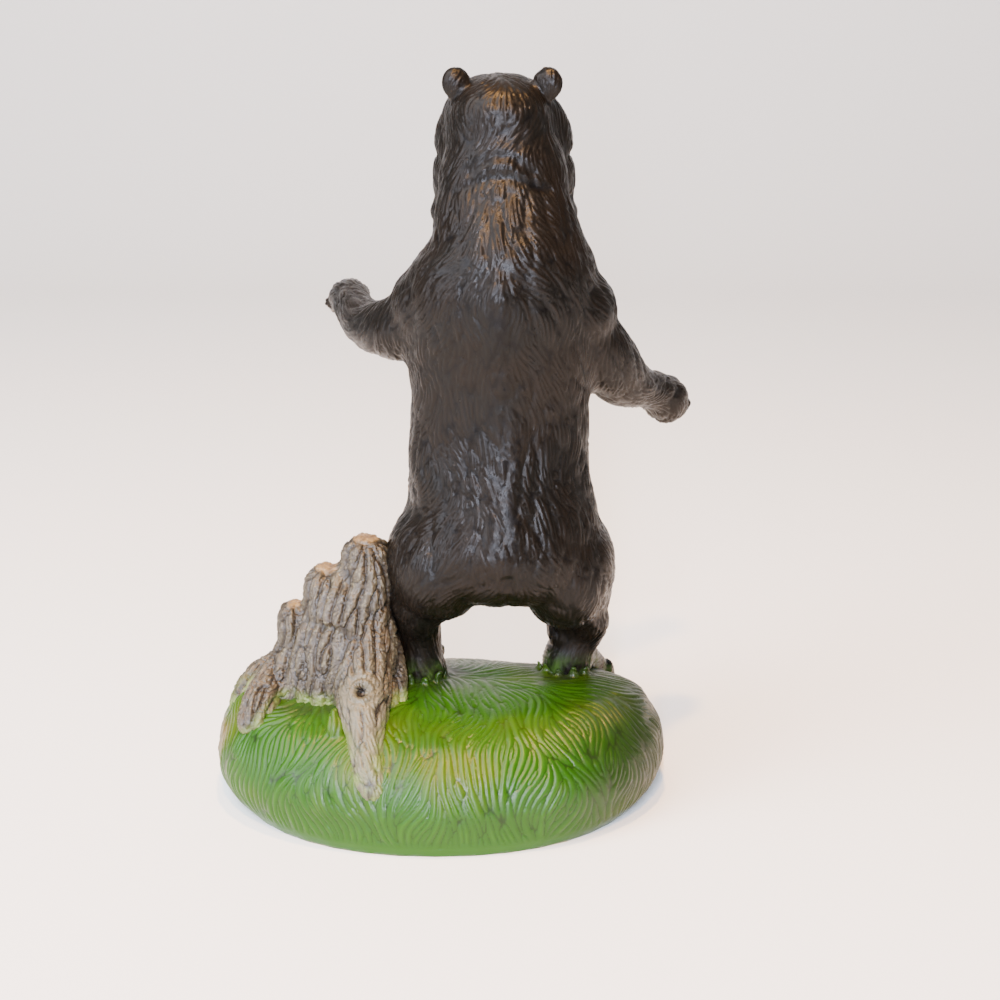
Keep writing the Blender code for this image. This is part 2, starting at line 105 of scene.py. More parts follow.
BEAR_FACES, GRASS_FACES, BARK_FACES = 195000, 165000, 150000

# How square the sections are: 2 is an ellipse.
PLAN_ROUNDNESS = 2.15
TORSO_ROUNDNESS = 2.15
HEAD_ROUNDNESS = 2.3

# The camera that took the picture, and the room around it.
CAMERA_PLACE = (-BEAR_OFFSET, 0.700, 0.345)
CAMERA_DOWN = 17.15
CAMERA_LENS = 62.4
SENSOR_WIDTH = 36
LIT_POINT = (-0.01, 0, 0.15)
ROOM_LIGHT = 0.36
FLOOR_FRONT, FLOOR_BACK, FLOOR_HALF_WIDTH = 3.0, -1.2, 3.5
FLOOR_CURVE, WALL_HEIGHT = 0.6, 3.0

# The heights and widths in which the tables below are written.
BEAR_UNITS = 256.0
STUMP_UNITS = 66.0
STUMP_PLAN_UNITS = 50.0


def smooth_rows(keys, steps=5):
    """Rows on a smooth curve through the key rows."""
    keys = np.array(keys, float)
    ends = [2 * keys[0] - keys[1], 2 * keys[-1] - keys[-2]]
    padded = np.vstack([ends[0], keys, ends[1]])
    rows = []
    for i in range(len(keys) - 1):
        before, start, end, after = padded[i : i + 4]
        for t in np.arange(steps) / steps:
            rows.append(
                start
                + 0.5 * t * (end - before)
                + t * t * (before - 2.5 * start + 2 * end - 0.5 * after)
                + t**3 * (1.5 * (start - end) + 0.5 * (after - before))
            )
    rows.append(keys[-1])
    return np.array(rows)


def section(centre, side, up, down, roundness=2.0):
    """A closed ring of points: half as wide as side, reaching up on one side and down on the other."""
    angles = np.arange(RING_SIDES) * (2 * math.pi / RING_SIDES)
    across, along = np.cos(angles), np.sin(angles)
    power = 2 / roundness
    across = np.sign(across) * np.abs(across) ** power
    along = np.sign(along) * np.abs(along) ** power
    height = np.where((along > 0)[:, None], along[:, None] * up, -along[:, None] * down)
    return np.asarray(centre) + across[:, None] * side + height


def add_rings(clay, rings):
    """Skins a stack of rings and closes both ends."""
    loops = [[clay.verts.new(p) for p in ring] for ring in rings]
    for low, high in zip(loops, loops[1:]):
        for i in range(RING_SIDES):
            j = (i + 1) % RING_SIDES
            clay.faces.new((low[i], low[j], high[j], high[i]))
    for loop, ring in ((loops[0], rings[0]), (loops[-1], rings[-1])):
        pole = clay.verts.new(np.mean(ring, axis=0))
        for i in range(RING_SIDES):
            clay.faces.new((loop[i], loop[(i + 1) % RING_SIDES], pole))


def add_ball(clay, centre, radii, turn=(0, 0, 0)):
    """An ellipsoid, turned by angles about X, Y and Z in degrees."""
    rotation = Matrix.Identity(3)
    for angle, axis in zip(turn, "XYZ"):
        rotation = Matrix.Rotation(math.radians(angle), 3, axis) @ rotation
    side, back, up = (rotation @ Vector(axis) for axis in Matrix.Diagonal(radii))
    rings = []
    for latitude in np.radians(np.linspace(-84, 84, 15)):
        reach = math.cos(latitude)
        middle = np.array(Vector(centre) + up * math.sin(latitude))
        half_depth = np.array(back) * reach
        rings.append(section(middle, np.array(side) * reach, half_depth, -half_depth))
    add_rings(clay, rings)


def add_limb(clay, keys, blunt=0.8):
    """A tube through rows of x, y, z, half width and half thickness, with rounded ends."""
    rows = smooth_rows(keys)
    centres = rows[:, :3]
    tangents = np.gradient(centres, axis=0)
    tangents /= np.linalg.norm(tangents, axis=1)[:, None]
    rings = []

    def ring_at(row, tangent, shift=0.0, scale=1.0):
        side = np.cross(tangent, (0, 0, 1.0))
        if np.linalg.norm(side) < 0.2:
            side = np.array((1.0, 0, 0))
        side /= np.linalg.norm(side)
        up = np.cross(side, tangent)
        reach = row[:3] + tangent * shift
        rings.append(
            section(reach, side * row[3] * scale, up * row[4] * scale, -up * row[4] * scale)
        )

    caps = np.radians((80, 60, 40, 20))
    for angle in caps:
        ring_at(rows[0], tangents[0], -rows[0, 4] * blunt * math.sin(angle), math.cos(angle))
    for row, tangent in zip(rows, tangents):
        ring_at(row, tangent)
    for angle in caps[::-1]:
        ring_at(rows[-1], tangents[-1], rows[-1, 4] * blunt * math.sin(angle), math.cos(angle))
    add_rings(clay, rings)


def object_of(name, mesh):
    piece = bpy.data.objects.new(name, mesh)
    bpy.context.scene.collection.objects.link(piece)
    return piece


def applied(piece):
    """The piece's mesh with its modifiers applied. The piece itself is used up."""
    graph = bpy.context.evaluated_depsgraph_get()
    mesh = bpy.data.meshes.new_from_object(piece.evaluated_get(graph))
    mesh.materials.clear()
    bpy.data.objects.remove(piece)
    return mesh


def worked(clay, grain, blend):
    """The clay as one skin of even grain, its joins smoothed over a length. The loose clay is used up."""
    mesh = bpy.data.meshes.new("clay")
    clay.to_mesh(mesh)
    clay.free()
    lump = object_of("clay", mesh)
    remesh = lump.modifiers.new("one skin", "REMESH")
    remesh.mode = "VOXEL"
    remesh.voxel_size = grain
    if blend > grain:
        smooth = lump.modifiers.new("smoothed joins", "SMOOTH")
        smooth.factor = 0.5
        smooth.iterations = round((blend / grain) ** 2)
    return applied(lump)


def clay_of(mesh):
    """A skin taken back as clay, so that more can be added."""
    clay = bmesh.new()
    clay.from_mesh(mesh)
    bpy.data.meshes.remove(mesh)
    return clay


def cut_flat(mesh):
    """Cuts the clay flat at the ground and closes it."""
    clay = clay_of(mesh)
    cut = bmesh.ops.bisect_plane(
        clay,
        geom=[*clay.verts, *clay.edges, *clay.faces],
        plane_co=(0, 0, 0),
        plane_no=(0, 0, 1),
        clear_inner=True,
    )
    rim = [e for e in cut["geom_cut"] if isinstance(e, bmesh.types.BMEdge)]
    bmesh.ops.edgenet_fill(clay, edges=rim)
    bmesh.ops.recalc_face_normals(clay, faces=clay.faces)
    mesh = bpy.data.meshes.new("clay")
    clay.to_mesh(mesh)
    clay.free()
    return mesh


def away_from_path(places, path):
    """Each point's distance from a line through the path's points."""
    nearest = np.full(len(places), np.inf)
    path = np.asarray(path, float)
    for start, end in zip(path, path[1:]):
        run = end - start
        share = np.clip((places - start) @ run / (run @ run), 0, 1)
        gap = np.linalg.norm(places - start - share[:, None] * run, axis=1)
        nearest = np.minimum(nearest, gap)
    return nearest


def press(places, normals, path, width, depth):
    """Presses a soft groove into the skin along a path, or raises a ridge where depth is negative."""
    gap = away_from_path(places, path) / (width / 2)
    profile = np.where(gap < 1, (1 - gap**2) ** 2, 0)
    places -= normals * (depth * profile)[:, None]


def mound_mass():
    """The grassy mound: a flat underside, a tucked-in rim, steep in front and a long slope behind."""
    clay = bmesh.new()
    half_x, half_y = MOUND_WIDTH / 2, MOUND_DEPTH / 2
    # Shares of the mound's height, then of its half sizes sideways, behind and in front.
    profile = (
        (-0.08, 0.820, 0.940, 0.890),
        (0.00, 0.885, 0.972, 0.940),
        (0.16, 0.968, 0.992, 0.985),
        (0.36, 1.000, 1.000, 0.970),
        (0.56, 0.985, 0.950, 0.850),
        (0.72, 0.940, 0.860, 0.680),
        (0.85, 0.900, 0.710, 0.480),
        (0.94, 0.805, 0.500, 0.300),
        (0.99, 0.540, 0.260, 0.140),
        (1.00, 0.200, 0.080, 0.040),
    )
    rings = []
    for height, sideways, behind, front in smooth_rows(profile, 4):
        rings.append(
            section(
                (0, 0, height * MOUND_HEIGHT),
                np.array((half_x * sideways, 0, 0)),
                np.array((0, half_y * behind, 0)),
                np.array((0, -half_y * front, 0)),
                PLAN_ROUNDNESS,
            )
        )
    add_rings(clay, rings)
    return clay


class Ground:
    """The mound's surface, asked for its height."""

    def __init__(self):
        clay = mound_mass()
        self.tree = BVHTree.FromBMesh(clay)
        clay.free()

    def height(self, x, y):
        hit = self.tree.ray_cast(Vector((x, y, 2 * MOUND_HEIGHT)), Vector((0, 0, -1)))[0]
        return hit.z if hit else 0.0


class Bear:
    """Places the bear's own millimetres in the figurine: x from its middle, z from the mound's crown."""

    scale = BEAR_HEIGHT / BEAR_UNITS
    feet = np.array((-BEAR_OFFSET, 0, MOUND_HEIGHT))
    skull = (0, -20, 228)

    @classmethod
    def at(cls, x, y, z):
        return Vector(cls.feet + cls.scale * np.array((x, y, z)))

    @classmethod
    def rows(cls, keys):
        return [(*cls.at(*key[:3]), *(cls.scale * r for r in key[3:])) for key in keys]

    @classmethod
    def in_head(cls, x, y, z):
        """A point of the level head, lifted by the head's tilt."""
        lift = Matrix.Rotation(math.radians(-HEAD_TILT), 3, "X")
        middle = Vector(cls.skull)
        return cls.at(*(lift @ (Vector((x, y, z)) - middle) + middle))


def add_torso(clay):
    # Height, middle, half width, reach of the back and reach of the belly.
    rows = (
        (37, -2, 20, 17, 10),
        (41, -1, 33, 28, 20),
        (49, 0, 42.5, 37.5, 30),
        (60, 0, 44.5, 40.5, 37),
        (70, 0, 43, 38.5, 40.5),
        (80, -0.8, 40, 34.5, 41.5),
        (95, 0.7, 38.6, 29.5, 40),
        (110, 0.3, 37.9, 26.5, 37),
        (126, 0, 37.6, 26.5, 35.5),
        (142, 0, 38.8, 29, 36),
        (156, 0, 39.5, 32, 36),
        (168, 0, 40, 33, 33.5),
        (180, -1.5, 37.8, 31.5, 30),
        (189, -3.4, 32.2, 28.5, 28),
        (200, -2, 29, 22.5, 28),
        (210, -1.5, 26, 17, 30),
        (219, -1.5, 23, 12.8, 28),
        (229, -1, 18, 8.5, 24),
    )
    rings = []
    for height, middle, half_width, back, belly in smooth_rows(rows, 4):
        rings.append(
            section(
                Bear.at(middle, 0, height),
                np.array((Bear.scale * half_width, 0, 0)),
                np.array((0, Bear.scale * back, 0)),
                np.array((0, -Bear.scale * belly, 0)),
                TORSO_ROUNDNESS,
            )
        )
    add_rings(clay, rings)


def add_chest_and_nape(clay):
    for centre, radii in (
        ((-0.5, 11, 170), (25, 22.5, 27)),
        ((-1.5, -4, 210), (27, 19.5, 31)),
        ((-1, -17, 200), (27, 19, 28)),
        ((0, -20, 84), (34, 23.5, 34)),
        ((-0.5, -15, 160), (35, 22.5, 28)),
        ((-0.5, -20, 178), (24, 17, 24)),
    ):
        add_ball_of_bear(clay, centre, radii)


def add_ball_of_bear(clay, centre, radii, turn=(0, 0, 0)):
    add_ball(clay, Bear.at(*centre), [Bear.scale * r for r in radii], turn)


def add_haunches_and_legs(clay, ground):
    add_ball_of_bear(clay, (26.2, 3, 54), (22.8, 33, 27))
    add_ball_of_bear(clay, (-28, -1, 50), (22, 32, 28))
    left_leg = (
        (35, 0, 36, 15, 21),
        (35.2, -2, 27, 11.4, 18),
        (35.2, -3, 18, 10.2, 14),
        (35, -2.5, 9, 10.3, 12.5),
        (34, -2, 2, 11.5, 13),
    )
    right_leg = (
        (-34, -6, 38, 15.5, 22),
        (-34.8, -9, 28, 13, 18),
        (-33, -11, 18, 11.4, 14.5),
        (-31, -11.5, 9, 11, 12.5),
        (-29.8, -12, 1, 12, 13),
    )
    for leg in (left_leg, right_leg):
        add_limb(clay, Bear.rows(leg))
    for heel, turn in FEET:
        add_limb(clay, foot_rows(ground, heel, turn))


FOOT_LENGTH = 37.0
BALL_OF_FOOT = 24.0
FEET = (((34.5, -1.0), 6.0), ((-28.8, -12.0), -21.0))


def foot_point(ground, heel, turn, along, across, height):
    """A point of a foot, along it from the heel and across it, at a height above the sole's line."""
    angle = math.radians(turn)
    ahead = np.array((math.sin(angle), -math.cos(angle)))
    aside = np.array((math.cos(angle), math.sin(angle)))
    under_heel = Bear.at(*heel, 0)
    under_ball = Bear.at(*(np.array(heel) + ahead * BALL_OF_FOOT), 0)
    fall = ground.height(under_ball.x, under_ball.y) - ground.height(under_heel.x, under_heel.y)
    place = Bear.at(*(np.array(heel) + ahead * along + aside * across), 0)
    sole = ground.height(under_heel.x, under_heel.y) + fall * along / BALL_OF_FOOT
    place.z = sole + Bear.scale * height
    return place


def foot_rows(ground, heel, turn):
    # Along the foot, height of its middle, half width and half thickness.
    rows = (
        (0, 6, 10.5, 9),
        (10, 6, 10.8, 9.5),
        (20, 4, 11.5, 8.5),
        (FOOT_LENGTH - 9, 1.5, 12, 7.5),
    )
    return [
        (*foot_point(ground, heel, turn, along, 0, height), Bear.scale * wide, Bear.scale * thick)
        for along, height, wide, thick in rows
    ]


LEFT_ARM = (
    (28, -3, 156, 17, 17),
    (42, -12, 150.5, 14.5, 14.5),
    (54, -25, 148.5, 11.6, 11.6),
    (61, -38, 151, 10, 10),
    (65, -51, 154.5, 9.2, 8.8),
    (66.8, -61, 154.5, 10.2, 9),
    (67.3, -67, 151.5, 9.6, 8),
)
RIGHT_ARM = (
    (-28, -3, 152, 18, 18),
    (-41.5, -12, 139, 15.4, 16),
    (-52, -24, 126, 12.6, 12.6),
    (-61, -35, 119.5, 9.9, 9.9),
    (-68.5, -44, 116, 9.2, 9.2),
    (-73.2, -51, 111.5, 11, 10.6),
    (-74.6, -56, 107, 10.6, 10.2),
)


def add_arms(clay):
    add_ball_of_bear(clay, (30, -3, 162), (15.5, 20, 17))
    add_ball_of_bear(clay, (-32, -3, 160), (17, 20, 18))
    for arm in (LEFT_ARM, RIGHT_ARM):
        add_limb(clay, Bear.rows(arm))


def add_head(clay):
    # Distance behind the middle, height of the section's middle, half width and half height.
    rows = (
        (9.5, 233, 5, 5),
        (8, 233, 11, 12),
        (4, 233, 16.5, 17),
        (-2, 232.5, 20.5, 20.5),
        (-10, 232, 23, 22.6),
        (-20, 231, 24.4, 23.4),
        (-30, 228.5, 24.6, 23.2),
        (-38, 224.5, 21.4, 20.8),
        (-44, 220.5, 16.4, 16),
        (-51, 217.8, 13, 13),
        (-60, 217, 11, 11),
        (-66, 217.4, 8.8, 8.6),
        (-69, 218, 5.2, 5.2),
    )
    rings = []
    for along, height, half_width, half_height in smooth_rows(rows, 4):
        centre = Bear.in_head(0, along, height)
        top = Bear.in_head(0, along, height + half_height) - centre
        rings.append(
            section(
                centre,
                np.array((Bear.scale * half_width, 0, 0)),
                np.array(top),
                -np.array(top),
                HEAD_ROUNDNESS,
            )
        )
    add_rings(clay, rings)
    for side in (1, -1):
        ruff = (
            (side * 15.5 - 1.3, -15, 240, 8, 9),
            (side * 18 - 1.5, -19, 228, 10.5, 13),
            (side * 18.6 - 1.6, -20, 214, 11.2, 15),
            (side * 16.5 - 1.6, -17, 200, 13, 16),
            (side * 12 - 1.5, -13, 188, 14, 15),
        )
        add_limb(clay, [(*Bear.in_head(*key[:3]), *(Bear.scale * r for r in key[3:])) for key in ruff])
        for centre, radii in (
            ((side * 9, -36, 241), (8.5, 9, 6)),
            ((side * 13, -35, 217), (10, 13, 12)),
            ((side * 5.5, -55, 214), (7, 10, 6.6)),
        ):
            add_ball(clay, Bear.in_head(*centre), [Bear.scale * r for r in radii])
    add_ball(clay, Bear.in_head(0, -46, 206.5), [Bear.scale * r for r in (9.5, 17, 6.5)])


EARS = ((17.0, 1), (-18.8, -1))


def add_ears(clay):
    for x, side in EARS:
        centre = Bear.in_head(x, -11, 251)
        add_ball(clay, centre, [Bear.scale * r for r in (6.4, 4.4, 7.4)], (0, side * 18, side * 14))


NOSE = (0, -67.5, 222.5)
EYES = ((10.2, -44.2, 231), (-10.2, -44.2, 231))


def add_face(clay):
    add_ball(clay, Bear.in_head(*NOSE), [Bear.scale * r for r in (5.8, 4, 4.2)])
    for eye in EYES:
        add_ball(clay, Bear.in_head(*eye), [EYE_RADIUS * 1.15] * 3)


def add_claw(clay, root, direction, droop):
    """A curved claw that leaves its toe in a direction and droops."""
    direction = Vector(direction).normalized()
    rows = []
    for t in (0.0, 0.3, 0.6, 0.85, 1.0):
        place = Vector(root) + direction * (CLAW_LENGTH * t)
        place.z -= droop * CLAW_LENGTH * t * t
        radius = CLAW_RADIUS * (1 - 0.55 * t)
        rows.append((*place, radius, radius * 1.15))
    add_limb(clay, rows)
    return rows


def add_hind_toes(clay, ground):
    """Five toes with claws across the front of each foot. Returns the claws' rows."""
    claws = []
    for heel, turn in FEET:
        for k in range(-2, 3):
            across = 4.9 * k
            along = FOOT_LENGTH - 3.0 - 0.9 * k * k
            toe = foot_point(ground, heel, turn, along, across, 2.2)
            add_ball(clay, toe, [Bear.scale * r for r in (3.2, 4.6, 3.8)], (0, 0, -turn))
            tip = foot_point(ground, heel, turn, along + 6, across * 1.12, -1.0)
            root = foot_point(ground, heel, turn, along + 2.6, across * 1.04, 2.2)
            claws.append(add_claw(clay, root, tip - root, 0.10))
    return claws


def add_fingers(clay):
    """Five fingers with claws at the end of each arm. Returns the claws' rows."""
    claws = []
    for arm, fall in ((LEFT_ARM, 0.5), (RIGHT_ARM, -0.1)):
        wrist, palm = np.array(arm[-2][:3]), np.array(arm[-1][:3])
        ahead = palm - wrist
        ahead /= np.linalg.norm(ahead)
        ahead = ahead + np.array((-0.9 * ahead[0], -0.8, -fall))
        ahead /= np.linalg.norm(ahead)
        across = np.cross(ahead, (0, 0, 1.0))
        across /= np.linalg.norm(across)
        for k in range(-2, 3):
            finger = palm + across * 4.1 * k + ahead * (5.2 - 0.7 * k * k)
            add_ball(clay, Bear.at(*finger), [Bear.scale * 3.5] * 3)
            root = Bear.at(*(finger + ahead * 2.0))
            claws.append(add_claw(clay, root, Vector(ahead), 0.15))
    return claws


def stump_rows(keys):
    """Rows of the trunk in the figurine: heights over the mound's crown, plan from the trunk's middle."""
    tall = STUMP_HEIGHT / STUMP_UNITS
    wide = STUMP_SPREAD / STUMP_PLAN_UNITS
    return [
        (
            STUMP_OFFSET + wide * x,
            wide * y,
            MOUND_HEIGHT + (tall * z if z > 0 else MM * z),
            wide * half_width,
            wide * half_depth,
        )
        for x, y, z, half_width, half_depth in keys
    ]


# Each splinter of the broken trunk, from its foot to its top: x, y, z, half width, half depth.
SPLINTERS = (
    (
        (-16, 2, -18, 18.5, 22),
        (-15, 2, 6, 15.6, 19),
        (-15.2, 2, 34, 12.2, 16.5),
        (-15, 3, 52, 10.8, 13),
        (-15, 4, 57.5, 10.4, 10),
    ),
    (
        (2, 1, -18, 16, 22),
        (3, 1, 6, 11, 18.5),
        (3.5, 1, 28, 9, 16),
        (3.5, 2, 40, 8.6, 13),
        (3.5, 3, 42.5, 8.2, 11),
    ),
    (
        (14, 0, -18, 14, 19),
        (15.5, 0, 2, 9, 15.5),
        (17, 0, 16, 7.4, 13),
        (17.2, 1, 25, 7, 11.5),
        (17.2, 1, 27.5, 6.6, 10),
    ),
)
# The wood that joins each two splinters, up to the notch between them.
WALLS = (
    (
        (-6, 1, -18, 24, 21),
        (-6, 1, 20, 20, 17.5),
        (-6, 2, 36, 17.5, 14.5),
        (-6, 2.5, 43, 16, 11.5),
    ),
    (
        (9, 0, -18, 20, 19),
        (9.5, 0, 8, 15.5, 15),
        (10, 0.5, 20, 13.5, 12),
        (10.2, 1, 26, 12.5, 10),
    ),
    (
        (-3, 6, -18, 30, 23),
        (-3, 6, 8, 25, 20),
        (-5, 5, 24, 20.5, 17.5),
        (-8, 5, 38, 15, 14),
    ),
)
# Each root from the trunk down into the grass.
ROOTS = (
    (
        (-14, 8, 26, 12, 12),
        (-14, 22, 9, 12.5, 12),
        (-15, 36, -1, 11.5, 11),
        (-16.5, 46, -8, 9, 8.8),
        (-17.5, 55, -14, 8, 7.6),
        (-19.5, 62, -20, 7.2, 6.8),
        (-21, 66, -25, 5.6, 5),
    ),
    (
        (-21, 6, 18, 9, 9),
        (-25.5, 15, 5, 7, 7),
        (-28, 23, -3, 5.6, 5.6),
        (-30, 30, -9, 4, 4),
    ),
    (
        (18, 4, 10, 8, 9),
        (25, 13, 1, 8, 8.5),
        (29.5, 21, -5, 8.4, 8.4),
        (32, 28, -12, 7.6, 7.4),
    ),
    (
        (24, -10, 0, 8, 8),
        (33, -5, -5, 8.2, 8.2),
        (38, 2, -11, 7.6, 7.6),
        (40, 7, -17, 6, 6),
    ),
    (
        (-4, -8, 14, 11, 11),
        (-2, -24, -2, 9, 9),
        (0, -40, -13, 6.5, 7),
        (2, -51, -23, 4.5, 5),
    ),
)


def add_stump(clay):
    for wood in (*SPLINTERS, *WALLS):
        add_limb(clay, stump_rows(wood), 0.72)
    for root in ROOTS:
        add_limb(clay, stump_rows(root))


def carve_bear(places, normals):
    """The creases that show from a step away: the nape's folds, the spine, the mouth, the ear hollows."""

    def line(points, width, depth, place=Bear.at):
        press(places, normals, [place(*p) for p in points], width * Bear.scale, depth * Bear.scale)

    for height, reach in ((226, 13), (217, 18)):
        across = np.linspace(-reach, reach, 9)
        arch = [Bear.at(x, 20 - 0.03 * x * x, height - 8 * (x / reach) ** 2) for x in across]
        fold = [places[np.linalg.norm(places - np.array(p), axis=1).argmin()] for p in arch]
        press(places, normals, fold, 6 * Bear.scale, 0.7 * Bear.scale)
    line([(1, 33, 168), (0, 28, 140), (-2, 26, 118), (-2, 34, 84), (-1, 40, 66)], 26, -1.6)
    line([(-3, 41, 56), (-4, 40, 48), (-5, 30, 39)], 8, 1.5)
    head = Bear.in_head
    for side in (1, -1):
        lips = ((1.2, -69, 214), (7, -63, 210.8), (10.4, -53, 209.8), (13, -44, 212))
        line([(side * x, y, z) for x, y, z in lips], 3, 1.5, head)
        line([(side * 3, -71.5, 222.5), (side * 5, -69.5, 222)], 3, 1.3, head)
        line([(side * 16.5, -17, 251), (side * 17.5, -17, 253)], 8.5, 3.0, head)
    line([(0, -70, 219), (0, -70, 214)], 2.4, 1.0, head)
    line([(0, -45, 232), (0, -36, 243)], 9, 1.2, head)


def from_knot(places):
    """Each point's distance from the old knot on the big root."""
    x, y, z, _, thick = stump_rows([ROOTS[0][2]])[0]
    return np.linalg.norm(places - np.array((x, y + thick * 0.35, z + thick * 0.94)), axis=1)


def carve_knot(places, normals):
    """The old knot on the big root, rings round a hole."""
    away = from_knot(places)
    places -= normals * (0.0030 * np.exp(-((away / 0.0026) ** 2)))[:, None]
    for reach, height in ((0.0045, 0.0009), (0.0076, 0.0006)):
        ring = height * np.exp(-(((away - reach) / 0.0011) ** 2))
        places += normals * ring[:, None]


def soft_step(low, high, value):
    """0 below low, 1 above high and smooth between them."""
    t = np.clip((np.asarray(value, float) - low) / (high - low), 0, 1)
    return t * t * (3 - 2 * t)


class Skin:
    """A piece's surface while the tools cut it."""

    def __init__(self, mesh, seed):
        self.mesh = mesh
        count = len(mesh.vertices)
        self.places = np.empty(count * 3)
        mesh.vertices.foreach_get("co", self.places)
        self.places = self.places.reshape(-1, 3)
        self.read_normals()
        piece = object_of("skin", mesh)
        self.surface = BVHTree.FromObject(piece, bpy.context.evaluated_depsgraph_get())
        bpy.data.objects.remove(piece)
        self.points = KDTree(count)
        for i, place in enumerate(self.places):
            self.points.insert(place, i)
        self.points.balance()
        self.dice = np.random.default_rng(seed)
        self.marks = {}

    def read_normals(self):
        normals = np.empty(len(self.mesh.vertices) * 3)
        self.mesh.vertices.foreach_get("normal", normals)
        self.normals = normals.reshape(-1, 3)

    def push(self, distance):
        """Moves every point along its normal."""
        self.places += self.normals * np.asarray(distance)[:, None]

    def settle(self):
        """Writes the moved points back to the mesh and reads its new normals."""
        self.mesh.vertices.foreach_set("co", self.places.ravel())
        self.mesh.update()
        self.read_normals()

    def lines(self, flow, gap, length, wave, wave_size, where=None, step=0.0014):
        """Lines that run with the flow, swing with a slow wave, and keep a gap apart."""
        cells = {}
        found = []

        def free(place, reach):
            cx, cy, cz = (math.floor(c / gap) for c in place)
            limit = reach * reach
            for i in (cx - 1, cx, cx + 1):
                for j in (cy - 1, cy, cy + 1):
                    for k in (cz - 1, cz, cz + 1):
                        for other in cells.get((i, j, k), ()):
                            if (other - place).length_squared < limit:
                                return False
            return True

        def heading(place, normal):
            ahead = Vector(flow(place, normal))
            ahead -= normal * ahead.dot(normal)
            if ahead.length < 1e-6:
                return None
            swing = wave * noise.noise(place / wave_size)
            return Matrix.Rotation(swing, 3, normal) @ ahead.normalized()

        def walk(place, normal, sign, reach):
            path = []
            while reach > 0:
                ahead = heading(place, normal)
                if ahead is None:
                    break
                place, normal, _, _ = self.surface.find_nearest(place + ahead * (sign * step))
                if not free(place, 0.66 * gap):
                    break
                path.append(place)
                reach -= step
            return path

        # Long lines first, then short ones that fill what they leave.
        for apart, least in ((1.0, 0.6), (0.68, 0.2)):
            for i in self.dice.permutation(len(self.places))[:70000]:
                if where is not None and not where[i]:
                    continue
                place = Vector(self.places[i])
                if not free(place, gap * apart):
                    continue
                normal = Vector(self.normals[i])
                half = length * self.dice.uniform(0.38, 0.62)
                line = walk(place, normal, -1, half)[::-1] + [place] + walk(place, normal, 1, half)
                if len(line) * step < least * length:
                    continue
                for p in line:
                    key = tuple(math.floor(c / gap) for c in p)
                    cells.setdefault(key, []).append(p)
                found.append(np.array(line))
        return found

    def strands(self, lines, gap, tip=0.45, vary=0.3):
        """Height of strands laid along the lines: 1 on a crest, 0 in the cuts where two meet."""
        reach = 1.15 * gap
        best = np.full(len(self.places), reach)
        second = best.copy()
        lift = np.zeros(len(self.places))
        for line in lines:
            near = set()
            for p in line:
                near.update(i for _, i, _ in self.points.find_range(p, reach))
            if not near:
                continue
            near = np.fromiter(near, int)
            places = self.places[near]
            start, run = line[:-1], np.diff(line, axis=0)
            size = np.maximum((run**2).sum(1), 1e-12)
            share = np.clip(((places[:, None] - start) * run).sum(2) / size, 0, 1)
            gaps = np.linalg.norm(places[:, None] - start - share[..., None] * run, axis=2)
            nearest = gaps.argmin(1)
            rows = np.arange(len(near))
            along = (nearest + share[rows, nearest]) / len(run)
            taper = np.clip(np.sin(np.pi * np.clip(along, 0, 1)) * 1.5, 0, 1)
            away = gaps[rows, nearest] / (tip + (1 - tip) * taper)
            height = (0.55 + 0.45 * taper) * self.dice.uniform(1 - vary, 1)
            closer = away < best[near]
            second[near] = np.where(closer, best[near], np.minimum(second[near], away))
            lift[near] = np.where(closer, height, lift[near])
            best[near] = np.where(closer, away, best[near])
        return lift * (1 - np.clip(2 * best / (best + second), 0, 1) ** 2)

    def mark(self, name, values):
        self.marks[name] = np.clip(values, 0, 1).astype(np.float32)

    def finished(self, name, faces):
        """The cut piece, thinned to the wanted number of faces, with its marks as attributes."""
        self.settle()
        for mark, values in self.marks.items():
            layer = self.mesh.attributes.new(mark, "FLOAT", "POINT")
            layer.data.foreach_set("value", values)
        clay = bmesh.new()
        clay.from_mesh(self.mesh)
        bmesh.ops.triangulate(clay, faces=clay.faces)
        clay.to_mesh(self.mesh)
        clay.free()
        piece = object_of(name, self.mesh)
        thin = piece.modifiers.new("thinned", "DECIMATE")
        thin.ratio = min(1.0, faces / len(self.mesh.polygons))
        mesh = applied(piece)
        mesh.name = name
        mesh.shade_smooth()
        return object_of(name, mesh)


def near_path(rows):
    """Finds the nearest row of a limb's path: its share along the limb, its direction and how far it is."""
    rows = np.array(rows)
    centres = rows[:, :3]
    tangents = np.gradient(centres, axis=0)
    tangents /= np.linalg.norm(tangents, axis=1)[:, None]
    girth = rows[:, 3]

    def look(place):
        away = np.linalg.norm(centres - place, axis=1) / girth
        i = int(away.argmin())
        return i / (len(rows) - 1), tangents[i], away[i]

    return look


